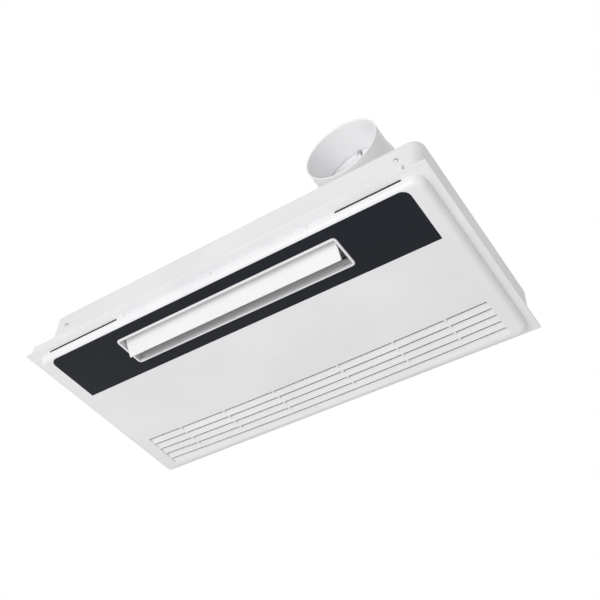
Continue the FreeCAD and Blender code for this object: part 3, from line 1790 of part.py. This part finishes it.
def make_electrics():
    """What sits on the electrical box's back wall."""
    x, y, z = box_corner()
    back = upper_left - dim("box_wall")
    floor = z + dim("box_wall")
    pitch = dim("terminal_pitch")
    deep = dim("terminal_depth")
    spare = dim("part_gap")
    start = y + dim("box_wall") + dim("boss") + spare
    base = floor + dim("terminal_lift")
    tall = dim("terminal_tall")
    block = span_box(
        "terminal_body", (back - deep, start, base), (back, start + pitch * TERMINALS, base + tall)
    )
    wells = [
        cylinder(
            f"terminal_well_{i}",
            (back - deep - OVERCUT, start + pitch * (i + 0.5), base + tall / 2),
            pitch / 3,
            deep / 2,
            "X",
        )
        for i in range(TERMINALS)
    ]
    sub_part("terminal_block", cut("terminal_block", block, wells))
    board_start = wire_y + dim("gland_bore") + spare
    board_end = y + dim("box_width") - dim("box_wall") - dim("boss") - spare
    thick = dim("board_thick")
    low = floor + dim("board_lift")
    high = z + dim("box_height") - dim("box_wall") - spare
    board = span_box("board_sheet", (back - thick, board_start, low), (back, board_end, high))
    relays = []
    for i in range(RELAYS):
        near = board_start + dim("relay_inset") + dim("relay_pitch") * i
        foot = low + dim("relay_inset")
        relays.append(
            span_box(
                f"relay_{i}",
                (back - thick - dim("relay"), near, foot),
                (back - thick, near + dim("relay"), foot + dim("relay_tall")),
            )
        )
    sub_part("control_board", fuse("control_board", [board] + relays))
    radius = dim("capacitor_radius")
    can_start = y + dim("box_wall")
    can = cylinder(
        "run_capacitor",
        (back - radius, can_start, high - radius),
        radius,
        wire_y - dim("gland_bore") - spare - can_start,
        "Y",
    )
    sub_part("run_capacitor", can)


make_base_frame()
make_cover()
make_band()
make_bezel()
make_receiver()
make_vane()
make_scroll_ends()
make_scroll_guide()
make_tongue()
make_crossflow_wheel()
make_crossflow_motor()
make_bearing()
make_swing_motor()
make_lower_casing()
make_nut_plates()
make_hanger_plates()
make_upper_casing()
make_top_plate()
make_exhaust_housing()
make_exhaust_wheel()
make_exhaust_motor()
make_scroll_posts()
make_spigot()
make_flap("damper_flap_left", -1)
make_flap("damper_flap_right", 1)
make_terminal_box()
make_gland()
make_electrics()
screws("frame_screws", [(frame_screw_places(), "Z")])
screws("casing_screws", [(upper_screw_places(), "-Z")])
screws("side_screws", [(side_screw_places(-1), "Y"), (side_screw_places(1), "-Y")])
screws("lid_screws", [(lid_screw_places(), "-Z")])
screws("spigot_screws", [(spigot_screw_places(), "Y")])
screws("crossflow_motor_screws", [(motor_screw_places(), "X")])
screws("swing_motor_screws", [(swing_screw_places(), "-X")])
screws("exhaust_motor_screws", [(exhaust_screw_places(), "-Z")])
screws("terminal_screws", [(terminal_screw_places(), "X")])

doc.recompute()
faults = [thing.Name for thing in doc.Objects if {"Invalid", "Error"} & set(thing.State)]
faults += [thing.Label for thing in sub_parts if thing.Shape.isNull() or not thing.Shape.isValid()]
if faults:
    raise RuntimeError("unsound: " + ", ".join(faults))
os.makedirs("parts", exist_ok=True)
for thing in sub_parts:
    thing.Shape.exportStep(f"parts/{thing.Label}.step")
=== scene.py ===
import json
import math

import bpy
from mathutils import Matrix, Vector


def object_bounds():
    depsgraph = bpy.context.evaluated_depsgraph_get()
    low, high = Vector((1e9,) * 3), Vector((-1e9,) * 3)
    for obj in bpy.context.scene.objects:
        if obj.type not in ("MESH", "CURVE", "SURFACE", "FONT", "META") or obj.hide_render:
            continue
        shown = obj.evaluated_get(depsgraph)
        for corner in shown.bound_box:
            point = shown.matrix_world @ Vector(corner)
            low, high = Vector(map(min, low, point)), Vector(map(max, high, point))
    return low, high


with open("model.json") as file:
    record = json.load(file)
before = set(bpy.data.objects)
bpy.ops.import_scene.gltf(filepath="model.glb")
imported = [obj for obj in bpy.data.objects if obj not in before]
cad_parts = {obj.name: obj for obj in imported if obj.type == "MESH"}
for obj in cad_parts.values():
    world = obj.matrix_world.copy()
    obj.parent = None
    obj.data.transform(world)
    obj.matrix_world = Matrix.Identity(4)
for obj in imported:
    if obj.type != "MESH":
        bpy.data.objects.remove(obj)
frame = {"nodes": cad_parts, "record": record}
cad_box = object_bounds()
nodes = frame["nodes"]

# Camera, in metres, below the ceiling and right of the middle
CAMERA_PLACE = Vector((0.53636, -0.68128, -0.80357))
CAMERA_RIGHT = Vector((0.82935, 0.55720, 0.04132))
CAMERA_UP = Vector((0.37404, -0.60863, 0.69976))
CAMERA_LENS = 54.84
CAMERA_SENSOR = 36.0

# Light levels, where 1 makes a white surface white
AMBIENT = 0.60
KEY_LEVEL = 0.50
TOP_LEVEL = 0.30
LAMP_DISTANCE = 2.4
LAMP_WIDTH = 1.6
KEY_SIDE = Vector((-0.10, -0.82, -0.60))
TOP_SIDE = Vector((-0.35, 0.45, 0.80))

# Floor of the room under the ceiling unit
FLOOR_DROP = 2.3
FLOOR_REACH = 7.0
FLOOR_COLOUR = (0.92, 0.92, 0.92, 1)
FLOOR_ROUGHNESS = 0.9
FLOOR_LIFT = 0.45

# Background as the eye sees it
WHITE = (1, 1, 1, 1)
WHITE_STRENGTH = 1.0

# Radius that sharp edges are shaded with, in metres
EDGE_SAMPLES = 6
MOULDED_EDGE = 0.0006
SHEET_EDGE = 0.0004

# Where a noise pattern mostly lies, between 0 and 1
PATTERN_LOW = 0.3
PATTERN_HIGH = 0.7

# Places of the colour sockets on a mix node
MIX_FACTOR = 0
MIX_FIRST = 6
MIX_SECOND = 7
MIX_RESULT = 2

COAT_ROUGHNESS = 0.1


class Nodes:
    """A short way to build one material's node tree."""

    def __init__(self, name):
        self.material = bpy.data.materials.new(name)
        self.material.use_nodes = True
        self.tree = self.material.node_tree
        self.shader = self.tree.nodes["Principled BSDF"]
        self.place = self.add("ShaderNodeTexCoord").outputs["Object"]

    def add(self, kind, **settings):
        node = self.tree.nodes.new(kind)
        for key, value in settings.items():
            setattr(node, key, value)
        return node

    def link(self, start, end):
        self.tree.links.new(start, end)

    def stretched(self, scale):
        """The object's own coordinates, squeezed so that a pattern runs long one way."""
        mapping = self.add("ShaderNodeMapping")
        mapping.inputs["Scale"].default_value = scale
        self.link(self.place, mapping.inputs["Vector"])
        return mapping.outputs["Vector"]

    def noise(self, scale, detail=4.0, rough=0.55, place=None):
        node = self.add("ShaderNodeTexNoise")
        node.inputs["Scale"].default_value = scale
        node.inputs["Detail"].default_value = detail
        node.inputs["Roughness"].default_value = rough
        self.link(place or self.place, node.inputs["Vector"])
        return node.outputs["Fac"]

    def cells(self, scale):
        node = self.add("ShaderNodeTexVoronoi")
        node.inputs["Scale"].default_value = scale
        self.link(self.place, node.inputs["Vector"])
        return node

    def spread(self, value, low, high):
        """Takes a pattern's usual range to the range low to high."""
        node = self.add("ShaderNodeMapRange")
        node.inputs["From Min"].default_value = PATTERN_LOW
        node.inputs["From Max"].default_value = PATTERN_HIGH
        node.inputs["To Min"].default_value = low
        node.inputs["To Max"].default_value = high
        self.link(value, node.inputs["Value"])
        return node.outputs["Result"]

    def blend(self, factor, first, second):
        node = self.add("ShaderNodeMix", data_type="RGBA")
        node.inputs[MIX_FIRST].default_value = (*first, 1)
        node.inputs[MIX_SECOND].default_value = (*second, 1)
        self.link(factor, node.inputs[MIX_FACTOR])
        return node.outputs[MIX_RESULT]

    def colour(self, factor, first, second):
        self.link(self.blend(factor, first, second), self.shader.inputs["Base Color"])

    def roughness(self, factor, low, high):
        self.link(self.spread(factor, low, high), self.shader.inputs["Roughness"])

    def bump(self, height, strength, distance, edge=0.0):
        """A surface pattern, over edges that look rounded by the given radius."""
        node = self.add("ShaderNodeBump")
        node.inputs["Strength"].default_value = strength
        node.inputs["Distance"].default_value = distance
        self.link(height, node.inputs["Height"])
        if edge > 0:
            soft = self.add("ShaderNodeBevel", samples=EDGE_SAMPLES)
            soft.inputs["Radius"].default_value = edge
            self.link(soft.outputs["Normal"], node.inputs["Normal"])
        self.link(node.outputs["Normal"], self.shader.inputs["Normal"])

    def finish(self, metallic=0.0, specular=0.5, coat=0.0):
        self.shader.inputs["Metallic"].default_value = metallic
        self.shader.inputs["Specular IOR Level"].default_value = specular
        self.shader.inputs["Coat Weight"].default_value = coat
        self.shader.inputs["Coat Roughness"].default_value = COAT_ROUGHNESS
        return self.material


def moulded(name, dark, light, rough, grain=2600.0, depth=0.00003, specular=0.4):
    """Moulded plastic: fine spark-eroded grain, slow changes of tone and gloss."""
    made = Nodes(name)
    made.colour(made.spread(made.noise(9.0, 3.0), 0.0, 1.0), dark, light)
    made.roughness(made.noise(40.0, 5.0), rough - 0.05, rough + 0.07)
    made.bump(made.noise(grain, 2.0), 0.35, depth, MOULDED_EDGE)
    return made.finish(specular=specular)


def painted(name, dark, light, rough, peel=420.0, depth=0.00008):
    """Powder-coated sheet steel with its orange peel."""
    made = Nodes(name)
    made.colour(made.spread(made.noise(6.0, 4.0), 0.0, 1.0), dark, light)
    made.roughness(made.noise(60.0, 4.0), rough - 0.06, rough + 0.08)
    made.bump(made.noise(peel, 2.0, 0.4), 0.3, depth, SHEET_EDGE)
    return made.finish(specular=0.45)


def spangled(name):
    """Zinc-coated sheet with crystals of differing grey."""
    made = Nodes(name)
    flakes = made.cells(150.0)
    tone = made.add("ShaderNodeSeparateColor")
    made.link(flakes.outputs["Color"], tone.inputs["Color"])
    made.colour(tone.outputs["Red"], (0.54, 0.56, 0.575), (0.63, 0.65, 0.66))
    made.roughness(tone.outputs["Green"], 0.38, 0.48)
    made.bump(made.noise(900.0, 3.0), 0.15, 0.00004)
    return made.finish(metallic=0.85)


def drawn(name, dark, light, rough, along):
    """Drawn or turned metal, with fine lines along one way."""
    made = Nodes(name)
    lines = made.noise(900.0, 3.0, place=made.stretched(along))
    made.colour(made.spread(lines, 0.0, 1.0), dark, light)
    made.roughness(lines, rough - 0.07, rough + 0.10)
    made.bump(lines, 0.2, 0.00003)
    return made.finish(metallic=1.0)


def sintered(name):
    """Oil-filled bronze with open pores."""
    made = Nodes(name)
    pores = made.cells(2400.0).outputs["Distance"]
    made.colour(made.spread(pores, 0.0, 1.0), (0.30, 0.17, 0.07), (0.52, 0.33, 0.15))
    made.roughness(made.noise(300.0), 0.38, 0.58)
    made.bump(pores, 0.4, 0.00006)
    return made.finish(metallic=0.9)


def soft_rubber(name):
    """Dull black rubber with a rough skin."""
    made = Nodes(name)
    shade = made.spread(made.noise(70.0), 0.0, 1.0)
    made.colour(shade, (0.018, 0.018, 0.019), (0.040, 0.040, 0.042))
    made.roughness(made.noise(160.0), 0.72, 0.92)
    made.bump(made.noise(1800.0, 3.0), 0.5, 0.00008)
    return made.finish(specular=0.3)


def solder_mask(name):
    """Green lacquer over copper tracks that show as lighter lanes."""
    made = Nodes(name)
    lanes = made.add("ShaderNodeTexBrick")
    lanes.inputs["Scale"].default_value = 90.0
    lanes.inputs["Mortar Size"].default_value = 0.03
    lanes.inputs["Color1"].default_value = (0.010, 0.110, 0.045, 1)
    lanes.inputs["Color2"].default_value = (0.012, 0.125, 0.052, 1)
    lanes.inputs["Mortar"].default_value = (0.035, 0.190, 0.080, 1)
    made.link(made.place, lanes.inputs["Vector"])
    made.link(lanes.outputs["Color"], made.shader.inputs["Base Color"])
    made.roughness(made.noise(120.0), 0.22, 0.40)
    made.bump(lanes.outputs["Fac"], 0.2, 0.00005)
    return made.finish(coat=0.3)


def make_finishes():
    return {
        "white_plastic": moulded("white_plastic", (0.80, 0.80, 0.815), (0.86, 0.86, 0.870), 0.38),
        # Lighter copy of the white plastic for the spigot: painted light that brightens the spigot, above
        # all its shaded inside
        "spigot_plastic_painted_light": moulded("spigot_plastic_painted_light", (0.87, 0.86, 0.870), (0.91, 0.90, 0.910), 0.42),
        "vane_plastic": moulded(
            "vane_plastic", (0.82, 0.82, 0.825), (0.86, 0.86, 0.865), 0.30, 3200.0, 0.00002
        ),
        "dark_band": moulded(
            "dark_band", (0.008, 0.010, 0.015), (0.012, 0.014, 0.020), 0.34, 3000.0, 0.00002, specular=0.12
        ),
        "white_steel": painted("white_steel", (0.78, 0.78, 0.785), (0.84, 0.84, 0.845), 0.45),
        "galvanised": spangled("galvanised"),
        "steel": drawn("steel", (0.42, 0.43, 0.45), (0.66, 0.67, 0.69), 0.32, (1.0, 6.0, 6.0)),
        "black_plastic": moulded("black_plastic", (0.016, 0.017, 0.018), (0.034, 0.035, 0.037), 0.48),
        "grey_plastic": moulded("grey_plastic", (0.30, 0.31, 0.32), (0.38, 0.39, 0.40), 0.50),
        "motor_paint": painted("motor_paint", (0.045, 0.048, 0.052), (0.085, 0.088, 0.094), 0.42, 700.0),
        "bronze": sintered("bronze"),
        "rubber": soft_rubber("rubber"),
        "board_green": solder_mask("board_green"),
        "terminal_cream": moulded("terminal_cream", (0.66, 0.60, 0.44), (0.76, 0.71, 0.55), 0.46),
    }


# The spigot takes the lighter copy of the white plastic, painted light for its shaded inside; the vane
# takes a glossier, finer-grained one
OWN_FINISH = {"louvre_vane": "vane_plastic", "duct_spigot": "spigot_plastic_painted_light"}


def dress(finishes):
    """Each solid takes the finish of its slot in the record, or one of its own."""
    for entry in frame["record"]["subparts"]:
        label = entry["node"]
        mesh = nodes[label].data
        mesh.materials.clear()
        mesh.materials.append(finishes[OWN_FINISH.get(label, entry["material_slot"])])


def shows_background(tree):
    """1 where the eye, a reflection or glass looks straight at the background."""
    path = tree.nodes.new("ShaderNodeLightPath")
    total = path.outputs["Is Camera Ray"]
    for ray in ("Is Glossy Ray", "Is Transmission Ray"):
        larger = tree.nodes.new("ShaderNodeMath")
        larger.operation = "MAXIMUM"
        tree.links.new(total, larger.inputs[0])
        tree.links.new(path.outputs[ray], larger.inputs[1])
        total = larger.outputs[0]
    return total


def make_world():
    world = bpy.data.worlds.new("studio")
    world.use_nodes = True
    bpy.context.scene.world = world
    tree = world.node_tree
    light = tree.nodes["Background"]
    light.inputs["Color"].default_value = WHITE
    light.inputs["Strength"].default_value = AMBIENT
    seen = tree.nodes.new("ShaderNodeBackground")
    seen.inputs["Color"].default_value = WHITE
    seen.inputs["Strength"].default_value = WHITE_STRENGTH
    mix = tree.nodes.new("ShaderNodeMixShader")
    tree.links.new(shows_background(tree), mix.inputs[0])
    tree.links.new(light.outputs[0], mix.inputs[1])
    tree.links.new(seen.outputs[0], mix.inputs[2])
    tree.links.new(mix.outputs[0], tree.nodes["World Output"].inputs["Surface"])


def make_floor():
    mesh = bpy.data.meshes.new("floor")
    signs = [(-1, -1), (1, -1), (1, 1), (-1, 1)]
    corners = [(x * FLOOR_REACH, y * FLOOR_REACH, -FLOOR_DROP) for x, y in signs]
    mesh.from_pydata(corners, [], [(0, 1, 2, 3)])
    floor = bpy.data.objects.new("floor", mesh)
    bpy.context.scene.collection.objects.link(floor)
    material = bpy.data.materials.new("floor_paint")
    material.use_nodes = True
    tree = material.node_tree
    shader = tree.nodes["Principled BSDF"]
    shader.inputs["Base Color"].default_value = FLOOR_COLOUR
    shader.inputs["Roughness"].default_value = FLOOR_ROUGHNESS
    shader.inputs["Emission Color"].default_value = WHITE
    lift = tree.nodes.new("ShaderNodeMath")
    lift.operation = "MULTIPLY"
    lift.inputs[1].default_value = FLOOR_LIFT
    tree.links.new(shows_background(tree), lift.inputs[0])
    tree.links.new(lift.outputs[0], shader.inputs["Emission Strength"])
    mesh.materials.append(material)


def make_lamp(name, side, level, middle):
    """A square soft box whose light adds level to a white surface that faces it."""
    light = bpy.data.lights.new(name, "AREA")
    light.size = LAMP_WIDTH
    light.energy = level * (math.pi * LAMP_DISTANCE) ** 2
    lamp = bpy.data.objects.new(name, light)
    lamp.location = middle + side.normalized() * LAMP_DISTANCE
    lamp.rotation_mode = "QUATERNION"
    lamp.rotation_quaternion = side.to_track_quat("Z", "Y")
    lamp.visible_camera = False
    bpy.context.scene.collection.objects.link(lamp)


def make_camera():
    camera = bpy.data.objects.new("camera", bpy.data.cameras.new("camera"))
    camera.data.lens = CAMERA_LENS
    camera.data.sensor_width = CAMERA_SENSOR
    back = CAMERA_RIGHT.cross(CAMERA_UP)
    turn = Matrix((CAMERA_RIGHT, CAMERA_UP, back)).transposed()
    camera.matrix_world = Matrix.Translation(CAMERA_PLACE) @ turn.to_4x4()
    bpy.context.scene.collection.objects.link(camera)
    bpy.context.scene.camera = camera


make_camera()
make_world()
make_floor()
centre = (cad_box[0] + cad_box[1]) / 2
make_lamp("key_lamp", KEY_SIDE, KEY_LEVEL, centre)
make_lamp("top_lamp", TOP_SIDE, TOP_LEVEL, centre)
dress(make_finishes())

bpy.context.scene.view_settings.view_transform = "Standard"
